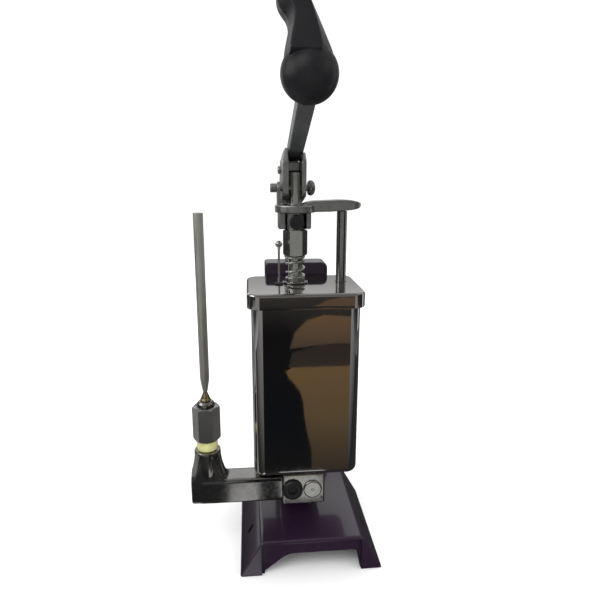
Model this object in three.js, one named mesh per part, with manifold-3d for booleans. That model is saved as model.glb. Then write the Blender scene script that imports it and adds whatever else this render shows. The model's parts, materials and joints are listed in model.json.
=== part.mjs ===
// Hand-lever filling press: cast stand, liquid tank, spring-return pump and upright filling tube.
// Millimetres, +Z up, operator side towards -Y.  Built about the base centre line, then moved
// so that the bottom centre of the bounding box is the origin.
import * as THREE from 'three';
import { mergeVertices } from 'three/addons/utils/BufferGeometryUtils.js';
import Module from 'manifold-3d';

const wasm = await Module();
wasm.setup();

// ---- driving dimensions -------------------------------------------------------------------
const GAP = 0.3;                       // clearance left between pieces that touch
const FACETS = 20;                     // segments round an ordinary cylinder

const AX = -8;                         // plunger axis, x
const AY = 80;                         // plunger axis, y
const STROKE = 12;                     // full plunger travel

const BASE = { floorHalf: 57, deckHalf: 40, front: 16, rear: 133, height: 30, wall: 6, cornerR: 12 };
const APRON_SETBACK = 2.6;             // how far the front apron stands behind the deck edge
const ARCH = { left: -37.5, leftTop: -19, rightTop: 36.3, right: 39.6, low: 2.7, high: 17 };
const BASE_HOLE = { x: 48, y: 54, r: 2.6 };

const COLUMN = { x: -3.65, half: 20.3, front: 116.4, depth: 14, foot: 8, headZ: 212, top: 233.7 };
const HEAD = { half: 27.6, depth: 23.6, cornerR: 5 };
const COLUMN_BOLT_OFFSET = 25;
const POST_SCREW = { x: -0.7, y: [121.5, 135] };

const TANK = { x: -2.6, y: 73.4, w: 83.4, d: 72, z0: 72.7, z1: 220.1, wall: 1.5, floor: 2, r: 9, edge: 5 };
const TANK_SCREW_Z = [104, 188];
const LID = { w: 89.8, d: 76, z0: 211.4, z1: 223.4, wall: 2, top: 3, r: 10, edge: 2 };

const ROD_R = 5.5;
const ROD_TOP = 310.8;
const TONGUE = [-11.6, -4.3];          // x of the milled flats at the top of the plunger rod
const SLEEVE = { flats: 17, z0: 246, z1: 266.2 };
const PLATE = { z0: 280, t: 6, ringR: 16.1, hubR: 7.2, hubZ: 266.5, armStart: -4, armEnd: 44.6, armHalf: 8 };
const GUIDE = { x: 29.5, r: 4.05, z0: 192, z1: 280.8, top: 286 };
const VENT = { x: -21.5, y: 74, r: 0.9, knobR: 2.8, knobZ: 255.5, z0: 158 };

const SPRING = { z0: 225.6, z1: 245.7, meanR: 7.2, wireR: 0.9, turns: 4 };

const CHEEK = { left: [-18.5, -13.9], right: [-3.7, -0.4], shoulderZ: 319, lean: 0.28 };
const FULCRUM = { y: 108, z: 293, r: 3 };
const LOAD = { y: 80, z: 298.8, r: 2.6 };
const RIVET = { y: 95, z: 312.5, r: 2.4 };
const BAR = { x: [-13.3, -1.8], thick: 12, rearY: 94, endZ: 363.4, slope: 0.344 };
const BALL = { y: -15.6, z: 365.3, r: 17.2 };
const GRIP_LEAN = 0.232;               // radians the grip leans back

const ARM = { x0: -94, x1: -21.3, y0: 40, y1: 59.5, z0: 49.8, z1: 71 };
const NOZZLE = { x: -81.3, y: 49.8, bossR: 10.5, bossTop: 94.8, flats: 19, tubeR: 3.6, tubeTop: 281.8 };
const BLOCK = { x0: -21, x1: 12.9, y0: 40.3, y1: 96, z0: 46.3, z1: 72.4 };
const SOCKET_PLUG = { x: -13.4, z: 59.6, r: 8.2 };
const ROUND_PLUG = { x: 2.8, z: 59.4, r: 7.6 };
const VALVE = { ballR: 4.5, ballZ: 62.8, seatR: 3.5, chamberR: 6, lift: 1.5 };
const PUMP = { r: 16, bore: 12.3, z0: 76.8, z1: 150, face: 114.5 };
const STUDS = [[-12.4, 0], [12.4, 0], [0, -12.4], [0, 12.4]];   // offsets from the plunger axis

// ---- finishes -----------------------------------------------------------------------------
const PAINT = { color: 0x3b2740, roughness: 0.25, metalness: 0.1 };
const MIRROR = { color: 0x9a9a98, roughness: 0.08, metalness: 1 };
const NICKEL = { color: 0xb9b9b4, roughness: 0.22, metalness: 1 };
const STEEL = { color: 0x6f706e, roughness: 0.35, metalness: 0.9 };
const DARK = { color: 0x3a3b3c, roughness: 0.3, metalness: 0.9 };
const BRASS = { color: 0xb28a3c, roughness: 0.25, metalness: 1 };
const BLACK = { color: 0x17181a, roughness: 0.45, metalness: 0 };
const RUBBER = { color: 0x1c1c1c, roughness: 0.8, metalness: 0 };
const SEAL = { color: 0xe2dc9a, roughness: 0.4, metalness: 0 };
const CAST = { color: 0x55565a, roughness: 0.5, metalness: 0.7 };

// ---- shape helpers ------------------------------------------------------------------------
const group = new THREE.Group();
group.name = 'hand_lever_filling_press';

function solid(geometry) {
  const bare = geometry.index ? geometry.toNonIndexed() : geometry;
  bare.deleteAttribute('normal');
  bare.deleteAttribute('uv');
  const g = mergeVertices(bare, 1e-4);
  const vertProperties = new Float32Array(g.attributes.position.array);
  const triVerts = new Uint32Array(g.index.array);
  let volume = 0;
  const a = new THREE.Vector3();
  const b = new THREE.Vector3();
  const c = new THREE.Vector3();
  for (let i = 0; i < triVerts.length; i += 3) {
    a.fromArray(vertProperties, 3 * triVerts[i]);
    b.fromArray(vertProperties, 3 * triVerts[i + 1]);
    c.fromArray(vertProperties, 3 * triVerts[i + 2]);
    volume += a.dot(b.cross(c));
  }
  if (volume < 0) {
    for (let i = 0; i < triVerts.length; i += 3) {
      [triVerts[i], triVerts[i + 1]] = [triVerts[i + 1], triVerts[i]];
    }
  }
  return new wasm.Manifold(new wasm.Mesh({ numProp: 3, vertProperties, triVerts }));
}

function add(name, body, finish) {
  const raw = body.getMesh();
  const geometry = new THREE.BufferGeometry();
  const positions = new Float32Array(raw.vertProperties);
  geometry.setAttribute('position', new THREE.BufferAttribute(positions, 3));
  geometry.setIndex(new THREE.BufferAttribute(new Uint32Array(raw.triVerts), 1));
  geometry.computeVertexNormals();
  const mesh = new THREE.Mesh(geometry, new THREE.MeshStandardMaterial(finish));
  mesh.name = name;
  group.add(mesh);
}

function box(x0, x1, y0, y1, z0, z1) {
  const g = new THREE.BoxGeometry(x1 - x0, y1 - y0, z1 - z0);
  g.translate((x0 + x1) / 2, (y0 + y1) / 2, (z0 + z1) / 2);
  return solid(g);
}

function rod(x, y, z0, z1, r, facets = FACETS) {
  const g = new THREE.CylinderGeometry(r, r, z1 - z0, facets);
  g.rotateX(Math.PI / 2);
  g.translate(x, y, (z0 + z1) / 2);
  return solid(g);
}

function rodX(x0, x1, y, z, r, facets = FACETS) {
  const g = new THREE.CylinderGeometry(r, r, x1 - x0, facets);
  g.rotateZ(Math.PI / 2);
  g.translate((x0 + x1) / 2, y, z);
  return solid(g);
}

function rodY(x, y0, y1, z, r, facets = FACETS) {
  const g = new THREE.CylinderGeometry(r, r, y1 - y0, facets);
  g.translate(x, (y0 + y1) / 2, z);
  return solid(g);
}

function turned(x, y, profile, facets = FACETS) {
  const g = new THREE.LatheGeometry(profile.map(([r, z]) => new THREE.Vector2(r, z)), facets);
  g.rotateX(Math.PI / 2);
  g.translate(x, y, 0);
  return solid(g);
}

function hexagon(x, y, z0, z1, flats, chamfer) {
  const r = flats / Math.sqrt(3);
  const g = new THREE.CylinderGeometry(r, r, z1 - z0, 6);
  g.rotateY(Math.PI / 6);
  g.rotateX(Math.PI / 2);
  g.translate(x, y, (z0 + z1) / 2);
  const cone = turned(x, y, [
    [0, z0], [r - chamfer, z0], [r, z0 + chamfer * 0.6],
    [r, z1 - chamfer * 0.6], [r - chamfer, z1], [0, z1],
  ]);
  return solid(g).intersect(cone);
}

function polygon(points) {
  return new THREE.Shape(points.map(([a, b]) => new THREE.Vector2(a, b)));
}

function roundedRect(x, y, w, d, r) {
  const s = new THREE.Shape();
  const x0 = x - w / 2;
  const x1 = x + w / 2;
  const y0 = y - d / 2;
  const y1 = y + d / 2;
  s.moveTo(x0 + r, y0);
  s.lineTo(x1 - r, y0);
  s.absarc(x1 - r, y0 + r, r, -Math.PI / 2, 0, false);
  s.lineTo(x1, y1 - r);
  s.absarc(x1 - r, y1 - r, r, 0, Math.PI / 2, false);
  s.lineTo(x0 + r, y1);
  s.absarc(x0 + r, y1 - r, r, Math.PI / 2, Math.PI, false);
  s.lineTo(x0, y0 + r);
  s.absarc(x0 + r, y0 + r, r, Math.PI, Math.PI * 1.5, false);
  return s;
}

function extruded(shape, depth, options = {}) {
  const settings = { depth, bevelEnabled: false, curveSegments: 4, ...options };
  return new THREE.ExtrudeGeometry(shape, settings);
}

// upright slab with rounded plan corners; edge > 0 also rounds its top and bottom edges
function slab(x, y, w, d, r, z0, z1, edge = 0) {
  const shape = roundedRect(x, y, w - 2 * edge, d - 2 * edge, Math.max(r - edge, 0.5));
  const bevel = { bevelEnabled: edge > 0, bevelSize: edge, bevelThickness: edge, bevelSegments: 3 };
  const g = extruded(shape, z1 - z0 - 2 * edge, bevel);
  g.translate(0, 0, z0 + edge);
  return solid(g);
}

// side profile given as (y, z), extruded from x0 to x1
function sidePlate(points, x0, x1) {
  const g = extruded(polygon(points), x1 - x0);
  const turn = new THREE.Matrix4().makeBasis(
    new THREE.Vector3(0, 1, 0), new THREE.Vector3(0, 0, 1), new THREE.Vector3(1, 0, 0));
  g.applyMatrix4(turn);
  g.translate(x0, 0, 0);
  return solid(g);
}

// front profile given as (x, z), extruded from y0 to y1
function frontPlate(points, y0, y1) {
  const g = extruded(polygon(points), y1 - y0);
  g.rotateX(Math.PI / 2);
  g.translate(0, y1, 0);
  return solid(g);
}

// closed skin over outlines with the same number of (x, z) points; each has a y and a y per z
function lofted(outlines, depths) {
  const n = outlines[0].length;
  const last = (outlines.length - 1) * n;
  const flat = outlines.flatMap((outline, k) => {
    const [start, perZ] = depths[k];
    return outline.flatMap(([a, b]) => [a, start + perZ * b, b]);
  });
  const index = [];
  for (let k = 0; k < last; k += n) {
    for (let i = 0; i < n; i += 1) {
      const j = (i + 1) % n;
      index.push(k + i, k + j, k + n + j, k + i, k + n + j, k + n + i);
    }
  }
  for (const [outline, base] of [[outlines[0], 0], [outlines.at(-1), last]]) {
    const points = outline.map(([a, b]) => new THREE.Vector2(a, b));
    for (const [i, j, k] of THREE.ShapeUtils.triangulateShape(points, [])) {
      index.push(...(base ? [base + i, base + j, base + k] : [k, j, i]));
    }
  }
  const g = new THREE.BufferGeometry();
  g.setAttribute('position', new THREE.Float32BufferAttribute(flat, 3));
  g.setIndex(index);
  return g;
}

function coil(x, y, z0, z1, meanR, wireR, turns, perTurn, sides) {
  const points = [];
  const steps = turns * perTurn;
  for (let i = 0; i <= steps; i += 1) {
    const t = i / steps;
    const a = t * turns * 2 * Math.PI;
    const eased = t - Math.sin(2 * Math.PI * t) / (2 * Math.PI) * 0.62;
    const z = z0 + wireR + eased * (z1 - z0 - 2 * wireR);
    points.push(new THREE.Vector3(x + meanR * Math.cos(a), y + meanR * Math.sin(a), z));
  }
  const wire = new THREE.Shape();
  wire.absarc(0, 0, wireR, 0, 2 * Math.PI, false);
  const g = new THREE.ExtrudeGeometry(wire, {
    steps, extrudePath: new THREE.CatmullRomCurve3(points), curveSegments: sides,
  });
  const slice = box(x - 30, x + 30, y - 30, y + 30, z0, z1);
  return solid(g).intersect(slice);
}

function joined(...parts) {
  return parts.reduce((a, b) => a.add(b));
}

function less(body, ...cuts) {
  return cuts.reduce((a, b) => a.subtract(b), body);
}

// ---- stand --------------------------------------------------------------------------------
function baseCasting() {
  const b = BASE;
  const outer = frontPlate([
    [-b.floorHalf, 0], [b.floorHalf, 0], [b.deckHalf, b.height], [-b.deckHalf, b.height],
  ], b.front, b.rear);
  const plan = new THREE.Shape();
  const x = b.floorHalf + 1;
  plan.moveTo(-x, b.front - 1);
  plan.lineTo(x, b.front - 1);
  plan.lineTo(x, b.rear - b.cornerR);
  plan.absarc(b.floorHalf - b.cornerR, b.rear - b.cornerR, b.cornerR, 0, Math.PI / 2, false);
  plan.absarc(-b.floorHalf + b.cornerR, b.rear - b.cornerR, b.cornerR, Math.PI / 2, Math.PI, false);
  plan.lineTo(-x, b.rear - b.cornerR);
  const limit = extruded(plan, b.height + 2);
  limit.translate(0, 0, -1);
  const top = b.height - b.wall;
  const slope = (b.floorHalf - b.deckHalf) / b.height;
  const lowHalf = b.floorHalf - b.wall + slope;
  const highHalf = lowHalf - slope * (top + 1);
  const hollow = frontPlate([
    [-lowHalf, -1], [lowHalf, -1], [highHalf, top], [-highHalf, top],
  ], b.front + b.wall, b.rear - b.wall - 3);
  const a = ARCH;
  const arch = frontPlate(
    [[a.left, -1], [a.right, -1], [a.rightTop, a.high], [a.leftTop, a.high], [a.left, a.low]],
    b.front - 5, b.rear + 5);
  const setback = APRON_SETBACK;
  const apron = box(-b.deckHalf + 0.3, b.deckHalf - 0.2, b.front - 1, b.front + setback, -1, b.height - setback);
  let body = less(outer.intersect(solid(limit)), hollow, arch, apron);
  for (const side of [-1, 1]) {
    const boltX = COLUMN.x + side * COLUMN_BOLT_OFFSET;
    body = less(body, rod(side * BASE_HOLE.x, BASE_HOLE.y, -1, 31, BASE_HOLE.r, 12));
    body = less(body, rod(boltX, 122, 15, 31, 3, 12));
  }
  add('base_casting', body, PAINT);
}

function column() {
  const c = COLUMN;
  const web = box(c.x - c.half, c.x + c.half, c.front, c.front + c.depth, 31, c.top - 4);
  const foot = slab(c.x, 121.8, 60, 19, 3, BASE.height + GAP, BASE.height + GAP + c.foot);
  const head = frontPlate([
    [c.x - HEAD.half, c.headZ], [c.x + HEAD.half, c.headZ],
    [c.x + HEAD.half, c.top - HEAD.cornerR], [c.x + HEAD.half - 1.5, c.top - 1.5],
    [c.x + HEAD.half - HEAD.cornerR, c.top], [c.x - HEAD.half + HEAD.cornerR, c.top],
    [c.x - HEAD.half + 1.5, c.top - 1.5], [c.x - HEAD.half, c.top - HEAD.cornerR],
  ], c.front, c.front + HEAD.depth);
  const rib = sidePlate([
    [129, 37], [131.2, 37], [139.6, 200], [139.6, 215], [129, 215],
  ], c.x - 6, c.x + 6);
  let body = joined(web, foot, head, rib);
  for (const side of [-1, 1]) {
    body = less(body, rod(c.x + side * COLUMN_BOLT_OFFSET, 122, 29, 40, 3, 12));
  }
  for (const z of TANK_SCREW_Z) {
    body = less(body, rodY(c.x, c.front - 1, c.front + 10, z, 2.4, 12));
  }
  for (const y of POST_SCREW.y) {
    body = less(body, rod(POST_SCREW.x, y, c.top - 9, c.top + 1, 2.1, 12));
  }
  add('rear_column', body, PAINT);
  for (const [label, side] of [['left', -1], ['right', 1]]) {
    const x = c.x + side * COLUMN_BOLT_OFFSET;
    const z = BASE.height + c.foot + 2 * GAP;
    const screw = joined(rod(x, 122, z, z + 5, 4.4), rod(x, 122, z - 13, z + 1, 2.6));
    add(`column_bolt_${label}`, less(screw, rod(x, 122, z + 2, z + 6, 2.3, 6)), DARK);
  }
}

function fulcrumPost() {
  const f = FULCRUM;
  const z = COLUMN.top + GAP;
  const foot = slab(-4.8, 128, 15.4, 22, 2, z, z + 6);
  const arm = sidePlate([
    [121, z + 2], [136, z + 2], [133, z + 12], [116.5, f.z - 6], [115.6, f.z + 3], [111, f.z + 7.6],
    [105, f.z + 7.6], [100.4, f.z + 3], [100.4, f.z - 3], [103, f.z - 9], [117.5, z + 16],
  ], -13.2, -4.4);
  let body = joined(foot, arm);
  body = less(body, rodX(-20, 5, f.y, f.z, f.r + GAP));
  for (const y of POST_SCREW.y) {
    body = less(body, rod(POST_SCREW.x, y, z - 1, z + 7, 2.1, 12));
  }
  add('fulcrum_post', body, STEEL);
  POST_SCREW.y.forEach((y, i) => {
    const head = rod(POST_SCREW.x, y, z + 6 + GAP, z + 9.5, 2.9, 16);
    const shank = rod(POST_SCREW.x, y, z - 7, z + 7, 1.8, 12);
    const recess = rod(POST_SCREW.x, y, z + 7.8, z + 10, 1.5, 6);
    add(`post_screw_${['front', 'rear'][i]}`, less(joined(head, shank), recess), DARK);
  });
}

// ---- tank ---------------------------------------------------------------------------------
function tank() {
  const t = TANK;
  const w = t.wall;
  const shell = slab(t.x, t.y, t.w, t.d, t.r, t.z0, t.z1 + 20, t.edge);
  const hollow = slab(t.x, t.y, t.w - 2 * w, t.d - 2 * w, t.r - w, t.z0 + t.floor, t.z1 + 20, t.edge - w);
  const crop = box(-90, 90, 0, 150, t.z1, t.z1 + 40);
  let body = less(shell, hollow, crop, rod(AX, AY, t.z0 - 1, t.z0 + 4, 8));
  for (const z of TANK_SCREW_Z) {
    body = less(body, rodY(COLUMN.x, 100, 115, z, 2.6, 12));
  }
  for (const [dx, dy] of STUDS) {
    body = less(body, rod(AX + dx, AY + dy, t.z0 - 1, t.z0 + 4, 2.1, 10));
  }
  add('tank_shell', body, MIRROR);
  TANK_SCREW_Z.forEach((z, i) => {
    const label = ['lower', 'upper'][i];
    const pad = less(box(COLUMN.x - 15, COLUMN.x + 15, 109.7, 116.1, z - 9, z + 9),
      rodY(COLUMN.x, 105, 120, z, 2.6, 12));
    const wall = t.y + t.d / 2 - w - GAP;
    const head = rodY(COLUMN.x, wall - 3, wall, z, 4.6);
    const shank = rodY(COLUMN.x, wall - 1, wall + 17, z, 2.1, 12);
    add(`tank_spacer_${label}`, pad, DARK);
    add(`tank_screw_${label}`, joined(head, shank), NICKEL);
  });
}

function lid() {
  const t = TANK;
  const l = LID;
  const inside = { w: l.w - 2 * l.wall, d: l.d - 2 * l.wall, r: l.r - l.wall };
  const outer = slab(t.x, t.y, l.w, l.d, l.r, l.z0 - 10, l.z1, l.edge);
  const inner = slab(t.x, t.y, inside.w, inside.d, inside.r, l.z0 - 20, l.z1 - l.top);
  const openings = [
    box(-90, 90, 0, 150, l.z0 - 20, l.z0),
    rod(AX, AY, l.z0, l.z1 + 1, 8.3),
    rod(GUIDE.x, AY, l.z0, l.z1 + 1, 4.95, 24),
    rod(VENT.x, VENT.y, l.z0, l.z1 + 1, 2.3, 12),
  ];
  add('tank_lid', less(outer, inner, ...openings), MIRROR);

  add('gland_bush', turned(AX, AY, [
    [ROD_R + GAP, 208], [10.5, 208], [10.5, 216], [8, 220.1], [8, l.z1 - 0.1],
    [ROD_R + GAP, l.z1 - 0.1], [ROD_R + GAP, 208],
  ]), BRASS);
  add('guide_bush', turned(GUIDE.x, AY, [
    [GUIDE.r + GAP, 206], [5.3, 206], [5.3, 220.1], [4.7, 220.1], [4.7, l.z1 - 0.1],
    [GUIDE.r + GAP, l.z1 - 0.1], [GUIDE.r + GAP, 206],
  ], 24), BRASS);
  add('vent_grommet', turned(VENT.x, VENT.y, [
    [VENT.r + GAP, 218], [2, 218], [2, l.z1 + GAP], [3.4, l.z1 + GAP], [3.1, l.z1 + 1.5],
    [VENT.r + GAP, l.z1 + 1.5], [VENT.r + GAP, 218],
  ], 20), RUBBER);
  add('spring_washer', turned(AX, AY, [
    [6, l.z1 + GAP], [10.4, l.z1 + GAP], [10.4, l.z1 + 1.6], [9.8, l.z1 + 1.9],
    [6, l.z1 + 1.9], [6, l.z1 + GAP],
  ]), DARK);
}

// ---- pump inside and below the tank -------------------------------------------------------
function pump() {
  const p = PUMP;
  const g = TANK.z0 + TANK.floor + GAP;
  const holes = STUDS.map(([dx, dy]) => rod(AX + dx, AY + dy, g - 1, p.z0, 2.4, 10));
  const disc = rod(AX, AY, g, p.z0 - GAP, 18.5);
  add('cylinder_gasket', less(disc, rod(AX, AY, g - 1, p.z0, 8.5), ...holes), RUBBER);
  let body = turned(AX, AY, [
    [4, p.z0], [19, p.z0], [19, p.z0 + 4], [p.r, p.z0 + 6], [p.r, p.z1],
    [p.bore, p.z1], [p.bore, 96], [4, 93], [4, p.z0],
  ], 24);
  for (const a of [0.25, 0.75, 1.25, 1.75]) {
    const port = new THREE.CylinderGeometry(2, 2, 8, 10);
    port.rotateZ(Math.PI / 2);
    port.translate(14.5, 0, 0);
    port.rotateZ(a * Math.PI);
    port.translate(AX, AY, 109.5);
    body = less(body, solid(port));
  }
  for (const [dx, dy] of STUDS) {
    body = less(body, rod(AX + dx, AY + dy, p.z0 - 1, p.z0 + 9, 1.6, 10));
  }
  add('pump_cylinder', body, NICKEL);
  const names = ['left', 'right', 'front', 'rear'];
  STUDS.forEach(([dx, dy], i) => {
    const stud = rod(AX + dx, AY + dy, BLOCK.z1 - 7, p.z0 + 8, 1.3, 10);
    add(`cylinder_stud_${names[i]}`, stud, STEEL);
  });
}

function valveBlock() {
  const b = BLOCK;
  const v = VALVE;
  const s = SOCKET_PLUG;
  const r = ROUND_PLUG;
  let body = box(b.x0, b.x1, b.y0, b.y1, b.z0, b.z1);
  const passages = [
    rod(AX, AY, b.z0 - 1, 66, v.chamberR),
    rod(AX, AY, 60, b.z1 + 1, v.seatR, 24),
    rod(AX, AY, b.z0 - 1, 51.5, 7.6),
    rodY(s.x, b.y0 - 1, 76, s.z, 5, 16),
    rodX(b.x0 - 1, s.x, NOZZLE.y, 61.6, 3.2, 12),
    rodY(s.x, b.y0 - 1, b.y0 + 7, s.z, 6.3),
    rodY(r.x, b.y0 - 1, b.y0 + 7, r.z, r.r - 1.3),
  ];
  body = less(body, ...passages);
  for (const [dx, dy] of STUDS) {
    body = less(body, rod(AX + dx, AY + dy, b.z1 - 8, b.z1 + 1, 1.6, 10));
  }
  add('valve_block', body, NICKEL);

  const recess = new THREE.CylinderGeometry(4.4, 4.4, 5, 6);
  recess.translate(s.x, b.y0 - 2, s.z);
  const rim = rodY(s.x, b.y0 - GAP - 2.7, b.y0 - GAP, s.z, s.r);
  add('socket_plug', less(joined(rim, rodY(s.x, b.y0 - 1, b.y0 + 6, s.z, 6)), solid(recess)), DARK);
  const disc = rodY(r.x, b.y0 - GAP - 1.4, b.y0 - GAP, r.z, r.r);
  add('round_plug', joined(disc, rodY(r.x, b.y0 - 1, b.y0 + 6, r.z, 5.8)), NICKEL);
  const cap = rod(AX, AY, b.z0 - 3.3, b.z0 - GAP, 9, 6);
  add('bottom_plug', joined(cap, rod(AX, AY, b.z0 - 1, 51, 7.2)), NICKEL);
  const ball = new THREE.SphereGeometry(v.ballR, 14, 8);
  ball.translate(AX, AY, v.ballZ);
  add('discharge_ball', solid(ball), NICKEL);
  add('valve_spring', coil(AX, AY, 51.3, v.ballZ - v.ballR + 0.9, 3.9, 0.4, 3, 12, 2), STEEL);
}

// ---- outlet arm and filling tube ----------------------------------------------------------
function outlet() {
  const a = ARM;
  const n = NOZZLE;
  const half = (a.y1 - a.y0) / 2;
  const mid = (a.y0 + a.y1) / 2;
  const plan = new THREE.Shape();
  plan.moveTo(a.x1, a.y0);
  plan.lineTo(a.x1, a.y1);
  plan.lineTo(a.x0 + half, a.y1);
  plan.absarc(a.x0 + half, mid, half, Math.PI / 2, Math.PI * 1.5, false);
  const bar = extruded(plan, a.z1 - a.z0 - 3, {
    bevelEnabled: true, bevelSize: 1.5, bevelThickness: 1.5, bevelOffset: -1.5, bevelSegments: 2,
  });
  bar.translate(0, 0, a.z0 + 1.5);
  const boss = turned(n.x, n.y, [
    [0, a.z0 + 4], [17, a.z0 + 4], [17, a.z1 - 1], [14.4, a.z1 + 3], [12.7, a.z1 + 8],
    [11, a.z1 + 14], [n.bossR, a.z1 + 18], [n.bossR, n.bossTop - 1], [n.bossR - 1, n.bossTop], [0, n.bossTop],
  ], 24);
  const trim = box(a.x0, -50, a.y0 + 0.3, a.y1 - 0.3, a.z0, a.z1 + 14);
  const upper = box(a.x0, -50, a.y0 - 3, a.y1 + 3, a.z1 + 13.9, n.bossTop + 1);
  const body = joined(solid(bar), boss.intersect(trim), boss.intersect(upper));
  const passages = [rodX(n.x, a.x1 + 1, n.y, 61.6, 3.2, 20), rod(n.x, n.y, 58, n.bossTop + 1, 3.2, 12)];
  add('outlet_arm', less(body, ...passages), DARK);

  add('sealing_washer', turned(n.x, n.y, [
    [3.4, 95.1], [8.0, 95.1], [8.35, 96], [8.35, 102], [8.0, 103], [3.4, 103], [3.4, 95.1],
  ]), SEAL);
  const nut = hexagon(n.x, n.y, 103.3, 132, n.flats, 2.4);
  add('hex_coupling', less(nut, rod(n.x, n.y, 100, 135, 3.2, 12)), STEEL);
  add('nozzle_ferrule', turned(n.x, n.y, [
    [3, 132.3], [7.2, 132.3], [6.6, 134.6], [5.2, 136], [3, 136], [3, 132.3],
  ], 16), DARK);
  add('nozzle_cone', turned(n.x, n.y, [
    [0.6, 130], [2.7, 130], [2.7, 136.3], [4.2, 136.3], [4.0, 137.4],
    [1.5, 143.4], [1.2, 146], [0.6, 146], [0.6, 130],
  ], 16), BRASS);
  add('filling_tube', turned(n.x, n.y, [
    [1.5, 144.2], [1.9, 144.2], [n.tubeR, 153.5], [n.tubeR, n.tubeTop], [n.tubeR - 0.8, n.tubeTop],
    [n.tubeR - 0.8, 154], [1.5, 147.5], [1.5, 144.2],
  ], 16), STEEL);
}

// ---- plunger and crosshead ----------------------------------------------------------------
function plunger() {
  const p = PUMP;
  const spigot = rod(AX, AY, p.face + 3.5, p.face + 15, 4, 24);
  let body = joined(rod(AX, AY, p.face + 14 + GAP, ROD_TOP, ROD_R), spigot);
  body = less(body, box(-30, TONGUE[0], 60, 100, 287, 320), box(TONGUE[1], 30, 60, 100, 287, 320));
  body = less(body, rodX(-30, 10, LOAD.y, LOAD.z, LOAD.r + GAP));
  body = less(body, box(AX - 0.6, AX + 0.4, 70, 75.8, 290, 320));
  body = less(body, rodY(AX, 70, AY - 2, 273, 2.3, 12));
  body = less(body, rod(AX, AY, p.face + 2, p.face + 12, 1.9, 12));
  add('plunger_rod', body, NICKEL);

  add('piston', turned(AX, AY, [
    [4.3, p.face + 3.5], [11.9, p.face + 3.5], [11.9, p.face + 14], [4.3, p.face + 14],
    [4.3, p.face + 3.5],
  ]), NICKEL);
  add('piston_seal', turned(AX, AY, [
    [2, p.face], [11, p.face], [12, p.face + 1], [12, p.face + 3.2], [2, p.face + 3.2], [2, p.face],
  ]), RUBBER);
  const head = rod(AX, AY, p.face - 3.3, p.face - GAP, 5, 6);
  add('piston_screw', joined(head, rod(AX, AY, p.face - 1, p.face + 10, 1.6, 16)), STEEL);
  const barrel = hexagon(AX, AY, SLEEVE.z0, SLEEVE.z1, SLEEVE.flats, 1.2);
  add('hex_sleeve', less(barrel, rod(AX, AY, 240, 270, ROD_R + GAP)), NICKEL);
}

function crosshead() {
  const p = PLATE;
  const ring = turned(AX, AY, [
    [0, p.z0], [p.ringR - 1, p.z0], [p.ringR, p.z0 + 1],
    [p.ringR, p.z0 + p.t - 1], [p.ringR - 1, p.z0 + p.t], [0, p.z0 + p.t],
  ], 24);
  const side = frontPlate([
    [p.armStart, p.z0 + 0.2], [20, p.z0 + 0.7], [36, p.z0 + 1.8], [42.5, p.z0 + 3.2], [p.armEnd, p.z0 + 5.4],
    [43.5, p.z0 + 7.6], [38, p.z0 + 9.3], [28, p.z0 + 9.8], [4, p.z0 + 8.9], [p.armStart + 4, p.z0 + 7.4],
    [p.armStart, p.z0 + p.t],
  ], AY - p.armHalf, AY + p.armHalf);
  const plan = new THREE.Shape();
  plan.moveTo(AX - 3, AY - p.armHalf);
  plan.lineTo(p.armEnd - p.armHalf, AY - p.armHalf);
  plan.absarc(p.armEnd - p.armHalf, AY, p.armHalf, -Math.PI / 2, Math.PI / 2, false);
  plan.lineTo(AX - 3, AY + p.armHalf);
  const outline = extruded(plan, 20, {
    bevelEnabled: true, bevelSize: 2.4, bevelThickness: 2.4, bevelOffset: -2.4,
    bevelSegments: 3, curveSegments: 7,
  });
  outline.translate(0, 0, p.z0 - 12.6);
  const arm = side.intersect(solid(outline));
  const hub = rod(AX, AY, p.hubZ, p.z0 + 1, p.hubR);
  const ear = sidePlate([
    [75, p.z0 + 2], [85, p.z0 + 2], [85, 299], [83.5, 302.5],
    [80, 304], [76.5, 302.5], [75, 299],
  ], AX - 14.4, AX - 11.8);
  const cut = [
    rod(AX, AY, 260, 292, ROD_R + GAP),
    rodX(-30, -14, LOAD.y, LOAD.z, LOAD.r + GAP, 24),
    rodY(AX, 66, AY - 2, 273, 2.3, 20),
    rod(GUIDE.x, AY, 275, GUIDE.top + GAP, 3.1, 24),
  ];
  add('crosshead_plate', less(joined(ring, arm, hub, ear), ...cut), STEEL);

  const yoke = box(AX - 13.4, AX + 12.6, 77.5, 94, 266.8, p.z0 - GAP);
  add('yoke_saddle', less(yoke, box(AX - 7.7, AX + 8.6, 70, 88.5, 260, 290)), STEEL);

  const pillar = rod(GUIDE.x, AY, GUIDE.z0, GUIDE.z1, GUIDE.r, 28);
  add('guide_rod', joined(pillar, rod(GUIDE.x, AY, 270, GUIDE.top, 2.8, 24)), DARK);

  const pin = joined(rodX(-24, 7.6, LOAD.y, LOAD.z, LOAD.r), rodX(-27.7, -22.7, LOAD.y, LOAD.z, 3.5));
  add('load_pin', pin, STEEL);
  const disc = new THREE.LatheGeometry([
    [2.9, 1.6], [4.8, 1.6], [6, 3.2], [6, 4.8], [5, 6.4], [3.6, 7.2], [2.9, 7.2], [2.9, 1.6],
  ].map(([r, h]) => new THREE.Vector2(r, h)), 28);
  disc.rotateZ(-Math.PI / 2);
  disc.translate(0, LOAD.y, LOAD.z);
  add('pin_retainer', solid(disc), DARK);

  const head = new THREE.CylinderGeometry(5.6, 5.6, 6, 12);
  head.rotateY(Math.PI / 12);
  head.translate(AX, 67.6, 273);
  add('thumb_screw', joined(solid(head), rodY(AX, 68, 77.6, 273, 2, 12)), BLACK);
}

// ---- hand lever ---------------------------------------------------------------------------
function barZ(y) {
  return BAR.endZ - BAR.slope * (y - BALL.y);
}

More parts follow.
